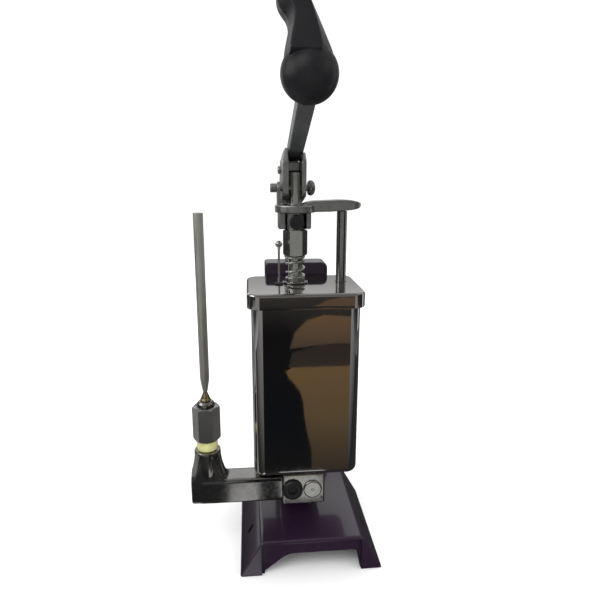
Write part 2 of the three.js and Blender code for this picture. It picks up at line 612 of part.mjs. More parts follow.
// side outline of the bar between two depths, enlarged by grow above and below
function barOutline(y0, y1, grow) {
  const rise = (BAR.thick / 2) * Math.hypot(1, BAR.slope) + grow;
  return [[y0, barZ(y0) - rise], [y1, barZ(y1) - rise], [y1, barZ(y1) + rise], [y0, barZ(y0) + rise]];
}

function lever() {
  const f = FULCRUM;
  const rivets = [[84, 325.6], [91.5, 323.6]];
  const cheekShape = [
    [68, 294], [70, 292.4], [84, 289.6], [103, 285.6], [110, 285], [115, 288.4], [116.4, 293],
    [115.6, 297], [103, 322], [98, 327.6], [84, 329.6], [79, 328], [66.8, 319],
  ];
  for (const [label, [x0, x1]] of [['left', CHEEK.left], ['right', CHEEK.right]]) {
    let cheek = sidePlate(cheekShape, x0, x1);
    cheek = less(cheek, rodX(-30, 12, f.y, f.z, f.r + GAP));
    cheek = less(cheek, rodX(-30, 12, RIVET.y, RIVET.z, RIVET.r + GAP, 24));
    const slot = sidePlate([[76.2, 295.7], [83.8, 295.7], [83.8, 301.9], [76.2, 301.9]], -30, 12);
    cheek = less(cheek, slot.intersect(rodX(-30, 12, LOAD.y, LOAD.z, 3.9)));
    for (const [y, z] of rivets) {
      cheek = less(cheek, rodX(-30, 12, y, z, 2.2, 12));
    }
    if (label === 'right') {
      cheek = less(cheek, sidePlate(barOutline(50, 120, GAP), x0 - 1, x1 + 1));
    } else {
      const z = CHEEK.shoulderZ;
      const waste = [[x0 - 5, z], [x0, z], [x0 + 15 * CHEEK.lean, z + 15], [x0 - 5, z + 15]];
      cheek = less(cheek, frontPlate(waste, 60, 120));
    }
    add(`lever_cheek_${label}`, cheek, STEEL);
  }
  rivets.forEach(([y, z], i) => {
    add(`bar_rivet_${['front', 'rear'][i]}`, rodX(-16.4, BAR.x[1] + 0.3, y, z, 1.9, 20), STEEL);
  });

  let bar = sidePlate(barOutline(BALL.y + 2, BAR.rearY, 0), ...BAR.x);
  for (const [y, z] of rivets) {
    bar = less(bar, rodX(-30, 12, y, z, 2.2, 12));
  }
  add('lever_bar', bar, CAST);

  const spacer = sidePlate([
    [85.5, 311.6], [98, 311.6], [98, 303], [101.4, 303], [101.4, 322.6], [99, 325.6], [94.4, 326.4],
    [94.4, 318.6], [85.5, 318.6],
  ], CHEEK.left[1] + 0.4, CHEEK.right[0] - 0.4);
  const clearance = [0, 2].map((up) => rodX(-30, 12, RIVET.y, RIVET.z + up, RIVET.r + GAP, 24));
  add('cheek_spacer', less(spacer, ...clearance), STEEL);
  const left = CHEEK.left[0];
  const right = CHEEK.right[1];
  const through = (x0, x1, at, r, headR, facets) => joined(
    rodX(left - 1, right + 1, at.y, at.z, r, facets),
    rodX(x0, left - GAP, at.y, at.z, headR),
    rodX(right + GAP, x1, at.y, at.z, headR));
  add('spacer_bolt', through(-20.9, right + 2, RIVET, RIVET.r, 3.1, 24), STEEL);
  add('fulcrum_pin', through(left - 2.6, right + 2.6, f, f.r, 4.8, FACETS), STEEL);
  grip();
}

// moulded grip: spherical foot on the bar end, waist leaning back and bevelled to a narrow
// front face, hooked top
function grip() {
  const ball = new THREE.SphereGeometry(BALL.r, 20, 12);
  ball.rotateX(Math.PI / 2);
  ball.translate(AX, BALL.y, BALL.z);
  const outline = [
    [-13.4, 2], [14, 2], [14.2, 11.1], [8.4, 26], [0.9, 43.6], [-1.6, 50], [-4.4, 54], [-10.5, 54.4],
    [-16.6, 52], [-18.9, 44.6], [-17.4, 37.6], [-12.6, 31.6], [-11.6, 26], [-15.1, 10],
  ];
  const face = [
    [-12, 7.4], [5, 7.4], [5.6, 11], [2.6, 26], [-2.6, 43.6], [-4.8, 48.4], [-7.2, 51.2], [-10.8, 51.7],
    [-13.8, 49.6], [-15.2, 44.4], [-13.6, 38.2], [-9.6, 31.6], [-9.2, 25], [-12.1, 10.4],
  ];
  const back = outline.map(([a, b]) => [a * 0.82 - 0.6, 26 + (b - 26) * 0.93]);
  const neck = lofted([back, outline, outline, face], [[8.5, 0], [5.5, 0], [-2, 0], [-17.2, 0.09]]);
  neck.rotateX(-GRIP_LEAN);
  neck.translate(AX, BALL.y, BALL.z);
  const socket = sidePlate(barOutline(BALL.y + 1.7, 40, GAP), BAR.x[0] - GAP, BAR.x[1] + GAP);
  add('grip', less(joined(solid(ball), solid(neck)), socket), BLACK);
}

// ---- vent pin and return spring -----------------------------------------------------------
function ventPin() {
  const v = VENT;
  const knob = new THREE.SphereGeometry(v.knobR, 12, 8);
  knob.rotateX(Math.PI / 2);
  knob.translate(v.x, v.y, v.knobZ);
  add('vent_pin', joined(rod(v.x, v.y, v.z0, v.knobZ, v.r, 14), solid(knob)), NICKEL);
}

function returnSpring() {
  const s = SPRING;
  add('return_spring', coil(AX, AY, s.z0, s.z1, s.meanR, s.wireR, s.turns, 16, 3), NICKEL);
}

baseCasting();
column();
fulcrumPost();
tank();
lid();
pump();
valveBlock();
outlet();
plunger();
crosshead();
lever();
ventPin();
returnSpring();

const bounds = new THREE.Box3().setFromObject(group);
const centre = bounds.getCenter(new THREE.Vector3());
for (const mesh of group.children) {
  mesh.geometry.translate(-centre.x, -centre.y, -bounds.min.z);
}

export default group;
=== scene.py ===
import json
import math

import bmesh
import bpy
from mathutils import Matrix, Vector


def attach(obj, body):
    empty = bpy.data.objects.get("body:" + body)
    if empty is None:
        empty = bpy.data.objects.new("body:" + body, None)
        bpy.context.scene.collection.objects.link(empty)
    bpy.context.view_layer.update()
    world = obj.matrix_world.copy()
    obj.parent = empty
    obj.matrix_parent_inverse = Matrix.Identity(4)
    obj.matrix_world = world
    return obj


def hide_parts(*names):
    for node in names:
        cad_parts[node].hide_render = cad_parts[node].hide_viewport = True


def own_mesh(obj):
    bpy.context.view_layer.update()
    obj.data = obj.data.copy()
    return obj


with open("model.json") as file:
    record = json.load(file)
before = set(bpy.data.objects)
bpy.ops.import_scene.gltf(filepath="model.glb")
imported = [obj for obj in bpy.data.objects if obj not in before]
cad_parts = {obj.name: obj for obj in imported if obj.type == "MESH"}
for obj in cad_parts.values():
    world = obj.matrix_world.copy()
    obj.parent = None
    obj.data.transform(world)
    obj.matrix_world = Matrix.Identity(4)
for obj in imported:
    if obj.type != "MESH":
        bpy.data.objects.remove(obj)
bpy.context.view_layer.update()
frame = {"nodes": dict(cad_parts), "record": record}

# Pieces are laid out in millimetres: x = 0 is the middle of the base, y grows to the rear.
SHIFT = Vector((18.5, -53.6, 0.0))
MM = 0.001
GAP = 0.3
AX, AY = -8.0, 80.0  # plunger
TANK_X, TANK_Y = -2.6, 73.4  # middle of tank and lid
TANK_SIZE = (83.4, 72, 9)  # width, depth, corner radius
LID_SIZE = (89.8, 76, 10)
COLUMN_X, COLUMN_Y = -3.65, 122
COLUMN_BOLT_X = 25  # from the column's middle, either way
TANK_SCREW_HEIGHTS = (104, 188)
BRACKET_SCREW_X, BRACKET_SCREW_YS = -0.7, (121.5, 135)
TUBE_X, TUBE_Y = -81.3, 49.8  # upright tube and all under it
PASSAGE_Z, PASSAGE_R = 61.6, 3.2
GUIDE_X = 29.5
# Points on the centre lines of small round parts.
VENT = (-21.5, 74, 0)
CLAMP_SCREW = (AX, 0, 273)
LOAD_PIN = (0, 80, 298.8)
FULCRUM = (0, 108, 293)
CROSS_BOLT = (0, 95, 312.5)
SOCKET_PLUG = (-13.4, 0, 59.6)
ROUND_PLUG = (2.8, 0, 59.4)
BALL_Y, BALL_Z, BALL_R = -15.6, 365.3, 17.2
BAR_Z, BAR_SLOPE = 363.4, 0.344  # height at the ball's middle, fall towards the rear
EYE = (-44.62, -339.42, 307.99)  # the camera
BODY_OF = {n: b for b, names in frame["record"]["behaviour"]["bodies"].items() for n in names}


def place(p):
    return (Vector(p) + SHIFT) * MM


# ---- materials ----------------------------------------------------------------------------
def material(name, base, metallic=0.0, roughness=0.4, shade=None, tone_scale=40.0, rough_span=0.08,
             rough_scale=300.0, stretch=(1, 1, 1), bump=0.0, bump_scale=600.0, bump_depth=0.0002,
             wave=0.0, wave_scale=18.0, coat=0.0, coat_roughness=0.05, transmission=0.0, subsurface=0.0):
    m = bpy.data.materials.new(name)
    m.use_nodes = True
    nodes, links = m.node_tree.nodes, m.node_tree.links
    shader = nodes["Principled BSDF"]
    shader.inputs["Metallic"].default_value = metallic
    shader.inputs["Coat Weight"].default_value = coat
    shader.inputs["Coat Roughness"].default_value = coat_roughness
    shader.inputs["Transmission Weight"].default_value = transmission
    shader.inputs["Subsurface Weight"].default_value = subsurface
    where = nodes.new("ShaderNodeTexCoord")
    mapping = nodes.new("ShaderNodeMapping")
    mapping.inputs["Scale"].default_value = stretch
    links.new(where.outputs["Object"], mapping.inputs["Vector"])

    def noise(scale, detail, stretched=True):
        n = nodes.new("ShaderNodeTexNoise")
        n.inputs["Scale"].default_value = scale
        n.inputs["Detail"].default_value = detail
        source = mapping.outputs["Vector"] if stretched else where.outputs["Object"]
        links.new(source, n.inputs["Vector"])
        return n

    tone = noise(tone_scale, 4.0, False)
    ramp = nodes.new("ShaderNodeValToRGB")
    ramp.color_ramp.elements[0].position = 0.32
    ramp.color_ramp.elements[1].position = 0.68
    other = shade or tuple(c * 0.8 for c in base)
    ramp.color_ramp.elements[0].color = (*other, 1)
    ramp.color_ramp.elements[1].color = (*base, 1)
    links.new(tone.outputs["Fac"], ramp.inputs["Fac"])
    links.new(ramp.outputs["Color"], shader.inputs["Base Color"])

    grain = noise(rough_scale, 5.0)
    span = nodes.new("ShaderNodeMapRange")
    span.inputs["From Min"].default_value = 0.3
    span.inputs["From Max"].default_value = 0.7
    span.inputs["To Min"].default_value = max(roughness - rough_span, 0.01)
    span.inputs["To Max"].default_value = min(roughness + rough_span, 1.0)
    links.new(grain.outputs["Fac"], span.inputs["Value"])
    links.new(span.outputs["Result"], shader.inputs["Roughness"])

    normal = None
    if wave:
        swell = nodes.new("ShaderNodeBump")
        swell.inputs["Strength"].default_value = wave
        swell.inputs["Distance"].default_value = 0.001
        links.new(noise(wave_scale, 1.0, False).outputs["Fac"], swell.inputs["Height"])
        normal = swell.outputs["Normal"]
    if bump:
        fine = nodes.new("ShaderNodeBump")
        fine.inputs["Strength"].default_value = bump
        fine.inputs["Distance"].default_value = bump_depth
        links.new(noise(bump_scale, 3.0).outputs["Fac"], fine.inputs["Height"])
        if normal:
            links.new(normal, fine.inputs["Normal"])
        normal = fine.outputs["Normal"]
    if normal:
        links.new(normal, shader.inputs["Normal"])
    return m


PAINT = material("purple_enamel", (0.019, 0.0065, 0.023), 0.0, 0.34, shade=(0.013, 0.005, 0.017),
                 tone_scale=22, rough_span=0.06, bump=0.05, bump_scale=150, bump_depth=0.0004, coat=0.8,
                 coat_roughness=0.09)
MIRROR = material("mirror_steel", (0.56, 0.545, 0.53), 1.0, 0.055, shade=(0.52, 0.505, 0.49), tone_scale=14,
                  rough_span=0.025, rough_scale=260, wave=0.06, wave_scale=16)
NICKEL = material("turned_nickel", (0.62, 0.62, 0.585), 1.0, 0.2, shade=(0.53, 0.53, 0.5), tone_scale=120,
                  rough_span=0.07, rough_scale=500, stretch=(1, 1, 6), bump=0.05, bump_scale=500)
STEEL = material("satin_steel", (0.42, 0.42, 0.405), 1.0, 0.33, shade=(0.34, 0.34, 0.33), tone_scale=90,
                 rough_span=0.08, rough_scale=420, stretch=(5, 1, 1), bump=0.08, bump_scale=450)
TUBE = material("tube_steel", (0.7, 0.7, 0.645), 1.0, 0.46, shade=(0.62, 0.62, 0.57), tone_scale=50,
                rough_span=0.06, rough_scale=260, stretch=(1, 1, 0.08), bump=0.06, bump_scale=350)
DARK = material("dark_chrome", (0.36, 0.355, 0.345), 1.0, 0.16, shade=(0.29, 0.287, 0.28), tone_scale=60,
                rough_span=0.06, rough_scale=300, bump=0.04, bump_scale=300)
BLACKENED = material("blackened_steel", (0.05, 0.05, 0.052), 0.8, 0.38, shade=(0.03, 0.03, 0.032),
                     tone_scale=150, rough_span=0.1, bump=0.1, bump_scale=600)
BRASS = material("brass", (0.62, 0.52, 0.27), 1.0, 0.24, shade=(0.5, 0.4, 0.19), tone_scale=160,
                 rough_span=0.08, rough_scale=500, bump=0.04)
GRIP = material("black_grip", (0.009, 0.009, 0.0105), 0.0, 0.42, shade=(0.006, 0.006, 0.0075), tone_scale=60,
                rough_span=0.08, rough_scale=700, bump=0.18, bump_scale=900, coat=0.12, coat_roughness=0.3)
GRIP.node_tree.nodes["Principled BSDF"].inputs["Specular IOR Level"].default_value = 0.22
RUBBER = material("rubber", (0.02, 0.02, 0.02), 0.0, 0.75, bump=0.2, bump_scale=900)
SEAL = material("seal_plastic", (0.7, 0.66, 0.3), 0.0, 0.35, shade=(0.6, 0.56, 0.22), tone_scale=90,
                rough_span=0.1, bump=0.08, bump_scale=500, transmission=0.25, subsurface=0.2)
BAR = material("lever_casting", (0.17, 0.175, 0.178), 0.8, 0.42, shade=(0.13, 0.133, 0.136), tone_scale=45,
               rough_span=0.1, rough_scale=350, bump=0.22, bump_scale=420, bump_depth=0.0003)


# ---- mesh helpers -------------------------------------------------------------------------
def new_object(name, verts, faces):
    mesh = bpy.data.meshes.new(name)
    mesh.from_pydata([place(v) for v in verts], [], faces)
    bm = bmesh.new()
    bm.from_mesh(mesh)
    bmesh.ops.remove_doubles(bm, verts=bm.verts, dist=1e-7)
    bmesh.ops.dissolve_degenerate(bm, edges=bm.edges, dist=1e-8)
    bmesh.ops.recalc_face_normals(bm, faces=bm.faces)
    bm.to_mesh(mesh)
    bm.free()
    obj = bpy.data.objects.new(name, mesh)
    bpy.context.scene.collection.objects.link(obj)
    return obj


def bake(obj):
    bpy.context.view_layer.update()
    shaped = obj.evaluated_get(bpy.context.evaluated_depsgraph_get())
    mesh = bpy.data.meshes.new_from_object(shaped)
    old = obj.data
    obj.modifiers.clear()
    obj.data = mesh
    bpy.data.meshes.remove(old)


def combine(obj, tools, operation):
    for tool in tools:
        m = obj.modifiers.new("combine", "BOOLEAN")
        m.object = tool
        m.operation = operation
        m.solver = "EXACT"
        bake(obj)
        bpy.data.objects.remove(tool, do_unlink=True)
    return obj


def cut(obj, *tools):
    return combine(obj, tools, "DIFFERENCE")


def join(obj, *tools):
    return combine(obj, tools, "UNION")


def remesh(obj, voxel, rounds):
    m = obj.modifiers.new("remesh", "REMESH")
    m.mode = "VOXEL"
    m.voxel_size = voxel * MM
    s = obj.modifiers.new("smooth", "SMOOTH")
    s.factor = 0.5
    s.iterations = rounds
    bake(obj)
    return obj


def bevel(obj, width, segments=2, angle=32):
    m = obj.modifiers.new("bevel", "BEVEL")
    m.width = width * MM
    m.segments = segments
    m.limit_method = "ANGLE"
    m.angle_limit = math.radians(angle)
    m.use_clamp_overlap = True
    bake(obj)
    return obj


def done(obj, mat, *nodes, sharp=38, weighted=True):
    obj.data.materials.clear()
    obj.data.materials.append(mat)
    for p in obj.data.polygons:
        p.use_smooth = True
    obj.data.set_sharp_from_angle(angle=math.radians(sharp))
    if weighted:
        m = obj.modifiers.new("weighted", "WEIGHTED_NORMAL")
        m.keep_sharp = True
    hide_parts(*nodes)
    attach(obj, BODY_OF[nodes[0]])
    return obj


def arc(across, up, radius, degrees):
    """Points about (across, up), from straight below round by the outer side."""
    turns = [math.radians(a) for a in degrees]
    return [(across + radius * math.sin(a), up - radius * math.cos(a)) for a in turns]


def soften(points, closed=True, steps=4):
    """(a, b) or (a, b, radius) points; corners with a radius are rounded."""
    out = []
    n = len(points)
    for i, p in enumerate(points):
        v = Vector(p[:2])
        radius = p[2] if len(p) > 2 else 0
        if not radius or (not closed and i in (0, n - 1)):
            out.append(tuple(v))
            continue
        back = Vector(points[i - 1][:2]) - v
        ahead = Vector(points[(i + 1) % n][:2]) - v
        a = v + back.normalized() * min(radius, back.length * 0.49)
        b = v + ahead.normalized() * min(radius, ahead.length * 0.49)
        for k in range(steps + 1):
            t = k / steps
            out.append(tuple(a * (1 - t) ** 2 + v * 2 * t * (1 - t) + b * t ** 2))
    return out


def loft(name, rings, loop=False):
    n = len(rings[0])
    verts = [p for ring in rings for p in ring]
    faces = []
    for i in range(len(rings) if loop else len(rings) - 1):
        a, b = i * n, (i + 1) % len(rings) * n
        faces += [(a + k, a + (k + 1) % n, b + (k + 1) % n, b + k) for k in range(n)]
    if not loop:
        faces += [tuple(range(n)), tuple(range(len(verts) - n, len(verts)))]
    return new_object(name, verts, faces)


def spun(name, centre, axis, profile, count=64, loop=False, ripple=None):
    """Profile of (radius, height[, rounding]); axis is 'x', 'y' or 'z' and heights lie along it."""
    profile = soften(profile, closed=loop)
    rings = []
    for r, h in profile:
        ring = []
        for k in range(count):
            a = 2 * math.pi * k / count
            rr = r * (ripple(a, h) if ripple else 1)
            u, v = rr * math.cos(a), rr * math.sin(a)
            x, y, z = centre
            ring.append({"z": (x + u, y + v, h), "x": (h, y + u, z + v), "y": (x + u, h, z + v)}[axis])
        rings.append(ring)
    return loft(name, rings, loop)


def post(centre, axis, h0, h1, r, count=48):
    return spun("tool", centre, axis, [(0, h0), (r, h0), (r, h1), (0, h1)], count)


def inset_ring(points, s):
    """Moves a closed 2-D outline inwards by s."""
    n = len(points)
    out = []
    area = sum(points[i - 1][0] * points[i][1] - points[i][0] * points[i - 1][1] for i in range(n))
    sign = 1 if area > 0 else -1
    for i in range(n):
        p, v, q = Vector(points[i - 1]), Vector(points[i]), Vector(points[(i + 1) % n])
        e1, e2 = (v - p), (q - v)
        if e1.length < 1e-9 or e2.length < 1e-9:
            out.append(tuple(v))
            continue
        n1 = Vector((-e1.y, e1.x)).normalized() * sign
        n2 = Vector((-e2.y, e2.x)).normalized() * sign
        m = n1 + n2
        m = m.normalized() / max(m.normalized().dot(n1), 0.4) if m.length > 1e-6 else n1
        out.append(tuple(v + m * s))
    return out


def plate(name, outline, h0, h1, edge=0.5, plane="xy", steps=4):
    """Flat piece with rounded rims. plane names the outline's axes; it is thick along the third."""
    flat = soften(outline, True, steps)
    rings = []
    for a in (0, 30, 60, 90):
        c, s = math.cos(math.radians(a)), math.sin(math.radians(a))
        rings.append((edge * (1 - s), h0 + edge * (1 - c)))
    rings += [(i, h0 + h1 - h) for i, h in reversed(rings)]
    order = {"xy": lambda a, b, h: (a, b, h), "yz": lambda a, b, h: (h, a, b),
             "xz": lambda a, b, h: (a, h, b)}[plane]
    return loft(name, [[order(a, b, h) for a, b in inset_ring(flat, i)] for i, h in rings])


def block(x0, x1, y0, y1, z0, z1, edge=0.01):
    return plate("tool", [(x0, y0), (x1, y0), (x1, y1), (x0, y1)], z0, z1, edge)


def rounded(x, y, w, d, r, n=8):
    """Rectangle w by d about (x, y) with its corners rounded."""
    out = []
    for cx, cy, a0 in ((1, 1, 0), (-1, 1, 90), (-1, -1, 180), (1, -1, 270)):
        for k in range(n + 1):
            a = math.radians(a0 + 90 * k / n)
            out.append((x + cx * (w / 2 - r) + r * math.cos(a), y + cy * (d / 2 - r) + r * math.sin(a)))
    return out


def hexagon(name, z0, z1, flats, chamfer, x=AX, y=AY):
    r = flats / math.sqrt(3)
    turns = [math.radians(60 * k) for k in range(6)]
    corners = [(x + r * math.cos(a), y + r * math.sin(a)) for a in turns]
    body = loft(name, [[(a, b, z) for a, b in corners] for z in (z0, z1)])
    lens = spun("tool", (x, y, 0), "z", [
        (0, z0), (r - chamfer, z0), (r + 0.02, z0 + chamfer * 0.6), (r + 0.02, z1 - chamfer * 0.6),
        (r - chamfer, z1), (0, z1)], 72)
    return combine(body, [lens], "INTERSECT")


# ---- stand --------------------------------------------------------------------------------
def base_casting():
    """Slanted shell on two rails, its deck edge rounded; levels are (inset, height)."""
    levels = [(0.6, 0), (0, 0.7)]
    levels += [(0, z) for z in (8, 16, 24, 27.4)]
    for a in (15, 35, 55, 75, 90):
        s = math.radians(a)
        levels.append((2.2 * (1 - math.cos(s)), 27.6 + 2.4 * math.sin(s)))
    rings = []
    for inset, z in levels:
        half = 57 - 17 * z / 30 - inset
        y0, y1 = 16 + inset, 133 - inset
        ring = []
        for cx, cy, a0, r in ((1, 1, 0, 11), (-1, 1, 90, 11), (-1, -1, 180, 1.6), (1, -1, 270, 1.6)):
            for k in range(9):
                a = math.radians(a0 + 90 * k / 8)
                edge_y = y1 if cy > 0 else y0
                ring.append((cx * (half - r) + r * math.cos(a), edge_y - cy * r + r * math.sin(a), z))
        rings.append(ring)
    body = loft("base_shell", rings)
    hollow = plate("tool", [(-51.5, -1), (51.5, -1), (37.8, 24, 4), (-37.8, 24, 4)], 22, 124, 3, "xz")
    arch = plate("tool", [(-37.5, -1), (39.6, -1), (36.3, 17, 2.5), (-19, 17, 5), (-37.5, 2.7, 1)],
                 8, 140, 0.01, "xz")
    recess = plate("tool", [(-39.7, -1), (39.8, -1), (39.8, 27.4, 0.8), (-39.7, 27.4, 0.8)],
                   10, 18.6, 0.01, "xz")
    tools = [hollow, arch, recess]
    for side in (-1, 1):
        tools.append(post((side * 48, 54, 0), "z", -1, 31, 2.6))
        tools.append(post((COLUMN_X + side * COLUMN_BOLT_X, COLUMN_Y, 0), "z", 15, 31, 3))
    cut(body, *tools)
    done(bevel(body, 0.35, 2, 40), PAINT, "base_casting")


def rear_column():
    x = COLUMN_X
    body = plate("column_casting", [(x - 20.3, 116.4, 1.5), (x + 20.3, 116.4, 1.5), (x + 20.3, 130.4, 4),
                                    (x - 20.3, 130.4, 4)], 31, 230, 0.5)
    foot = plate("tool", rounded(x, 121.8, 60, 19, 4, 6), 30.3, 38.3, 1.4)
    rib = plate("tool", [(122, 34), (131.4, 34, 2), (139.5, 200, 12), (139.5, 222), (122, 222)],
                x - 6, x + 6, 1.5, "yz")
    skirt = plate("tool", [(x - 24, 114.5), (x + 24, 114.5), (x + 24, 129.5), (x - 24, 129.5)], 36, 42, 2)
    join(body, foot, rib, skirt)
    remesh(body, 1.0, 9)
    head = plate("tool", [(x - 27.6, 212, 3), (x + 27.6, 212, 3), (x + 27.6, 233.7, 6), (x - 27.6, 233.7, 3)],
                 116.4, 140, 1.3, "xz", steps=8)
    join(body, head)
    tools = []
    for side in (-1, 1):
        bolt = (x + side * COLUMN_BOLT_X, COLUMN_Y, 0)
        tools += [post(bolt, "z", 28, 46, 3), post(bolt, "z", 38.2, 46, 5.2)]
    for z in TANK_SCREW_HEIGHTS:
        tools.append(post((x, 0, z), "y", 115, 126.4, 2.4))
    for y in BRACKET_SCREW_YS:
        tools.append(post((BRACKET_SCREW_X, y, 0), "z", 224.7, 235, 2.1))
    cut(body, *tools)
    done(body, PAINT, "rear_column", sharp=45)


def socket_screw(name, node, x, y, z, r, h, shank_r, shank_z, key):
    """Knurled head of radius r and height h standing at z, with a hexagonal socket of radius key."""
    body = spun(name, (x, y, 0), "z", [(0, shank_z), (shank_r, shank_z, 0.3), (shank_r, z, 0), (r, z, 0.25),
                                       (r, z + h, 0.5), (0, z + h)], 48,
                ripple=lambda a, hh: 1 + (0.012 * math.cos(24 * a) if z + 0.6 < hh < z + h - 0.4 else 0))
    cut(body, post((x, y, 0), "z", z + h * 0.45, z + h + 1, key, 6))
    done(body, BLACKENED, node)


def fulcrum_post():
    body = plate("fulcrum_bracket", [
        (121, 236), (136, 236), (133, 246, 8), (116.5, 287, 4), (115.8, 297, 6), (111, 300.8, 3),
        (105, 300.8, 3), (100.2, 296, 3), (100.2, 289.6, 3), (103, 284, 5), (117.5, 250, 8)],
        -13.2, -4.4, 0.6, "yz")
    foot = plate("tool", rounded(-4.8, 128, 15.4, 22, 2.2, 6), 234, 240, 0.5)
    join(body, foot)
    cut(body, post(FULCRUM, "x", -20, 5, 3.3),
        *[post((BRACKET_SCREW_X, y, 0), "z", 232, 241, 2.1) for y in BRACKET_SCREW_YS])
    done(body, STEEL, "fulcrum_post")
    for label, y in zip(("front", "rear"), BRACKET_SCREW_YS):
        socket_screw(f"bracket_screw_{label}", f"post_screw_{label}", BRACKET_SCREW_X, y, 240.3,
                     2.9, 3.2, 1.8, 227, 1.5)
    for label, side in (("left", -1), ("right", 1)):
        socket_screw(f"foot_screw_{label}", f"column_bolt_{label}", COLUMN_X + side * COLUMN_BOLT_X,
                     COLUMN_Y, 38.6, 4.4, 5, 2.6, 25.6, 2.3)


# ---- tank ---------------------------------------------------------------------------------
def tank_ring(size, inset, z):
    w, d, r = size
    flat = rounded(TANK_X, TANK_Y, w - 2 * inset, d - 2 * inset, max(r - inset, 0.4), 12)
    return [(a, b, z) for a, b in flat]


def tank():
    def ring(s, z):
        return tank_ring(TANK_SIZE, s, z)

    rings = []
    for k in range(9):
        a = math.radians(90 * k / 8)
        rings.append(ring(5 * (1 - math.sin(a)), 72.7 + 5 * (1 - math.cos(a))))
    rings += [ring(0, z) for z in (90, 120, 150, 180, 205, 219.7)]
    rings += [ring(0.4, 220.1), ring(1.1, 220.1), ring(1.5, 219.7), ring(1.5, 150), ring(1.5, 78)]
    for k in range(7):
        a = math.radians(90 * k / 6)
        rings.append(ring(1.5 + 3.3 * (1 - math.cos(a)), 78 - 3.3 * math.sin(a)))
    body = loft("tank_body", rings)
    tools = [post((AX, AY, 0), "z", 71, 77, 8)]
    tools += [post((AX + dx, AY + dy, 0), "z", 71, 77, 2.1, 24) for dx, dy in
              ((-12.4, 0), (12.4, 0), (0, -12.4), (0, 12.4))]
    tools += [post((COLUMN_X, 0, z), "y", 100, 115, 2.6, 24) for z in TANK_SCREW_HEIGHTS]
    cut(body, *tools)
    done(body, MIRROR, "tank_shell", sharp=30)


def lid():
    def ring(s, z):
        return tank_ring(LID_SIZE, s, z)

    rings = [ring(1.6, 211.4), ring(0.5, 211.4), ring(0.12, 211.6), ring(0, 212.1)]
    rings += [ring(0, z) for z in (215, 218.5, 221.2)]
    for k in range(1, 7):
        a = math.radians(90 * k / 6)
        rings.append(ring(2.2 * (1 - math.cos(a)), 221.2 + 2.2 * math.sin(a)))
    top = loft("lid_shell", rings)
    inner = loft("tool", [ring(2, 205), ring(2, 220.4)])
    cut(top, inner, post((AX, AY, 0), "z", 210, 230, 8.3, 64), post((GUIDE_X, AY, 0), "z", 210, 230, 4.95),
        post(VENT, "z", 210, 230, 2.3))
    done(top, MIRROR, "tank_lid", sharp=30)
    done(spun("vent_seat", VENT, "z", [
        (1.2, 218), (2, 218), (2, 223.7), (3.4, 223.7, 0.2), (3.3, 224.6, 0.4), (2.2, 224.9, 0.3),
        (1.2, 224.9)], 40, True), RUBBER, "vent_grommet")
    done(spun("spring_seat", (AX, AY, 0), "z", [
        (6, 223.7), (10.4, 223.7, 0.2), (10.4, 224.7, 0.4), (6, 224.9, 0.2)], 72, True),
        DARK, "spring_washer")


# ---- plunger, spring and crosshead --------------------------------------------------------
def coil_spring(name, node, mat, z0, z1, mean, wire, turns, per=44, sides=12):
    """Coil on the plunger axis; z0 is its fixed end."""
    closing = 0.62  # how much the coil's pitch drops at its two ends
    rings = []
    for i in range(turns * per + 1):
        t = i / (turns * per)
        a = 2 * math.pi * turns * t
        rise = t - math.sin(2 * math.pi * t) / (2 * math.pi) * closing
        z = z0 + wire + rise * (z1 - z0 - 2 * wire)
        ring = []
        for k in range(sides):
            b = 2 * math.pi * k / sides
            r = mean + wire * math.cos(b)
            zz = min(max(z + wire * math.sin(b), z0 + 0.05), z1 - 0.05)
            ring.append((AX + r * math.cos(a), AY + r * math.sin(a), zz))
        rings.append(ring)
    spring = loft(name, rings)
    done(spring, mat, node, weighted=False, sharp=60)
    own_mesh(spring)


def plunger():
    body = spun("plunger_shaft", (AX, AY, 0), "z", [
        (0, 118), (4, 118), (4, 128.8), (5.5, 128.8, 0.4), (5.5, 222), (5.5, 266), (5.5, 310.8, 1.1),
        (0, 310.8)], 72)
    tools = [block(-30, -11.6, 60, 100, 287, 320), block(-4.3, 30, 60, 100, 287, 320),
             block(-8.6, -7.6, 70, 75.8, 289, 320)]
    tools += [post(LOAD_PIN, "x", -30, 10, 2.9), post(CLAMP_SCREW, "y", 70, 78, 2.3),
              post((AX, AY, 0), "z", 116, 126.5, 1.9, 24)]
    cut(body, *tools)
    done(bevel(body, 0.25), NICKEL, "plunger_rod")
    sleeve = cut(hexagon("hex_barrel", 246, 266.2, 17, 1.2), post((AX, AY, 0), "z", 240, 270, 5.8, 64))
    done(bevel(sleeve, 0.3, 3), NICKEL, "hex_sleeve")


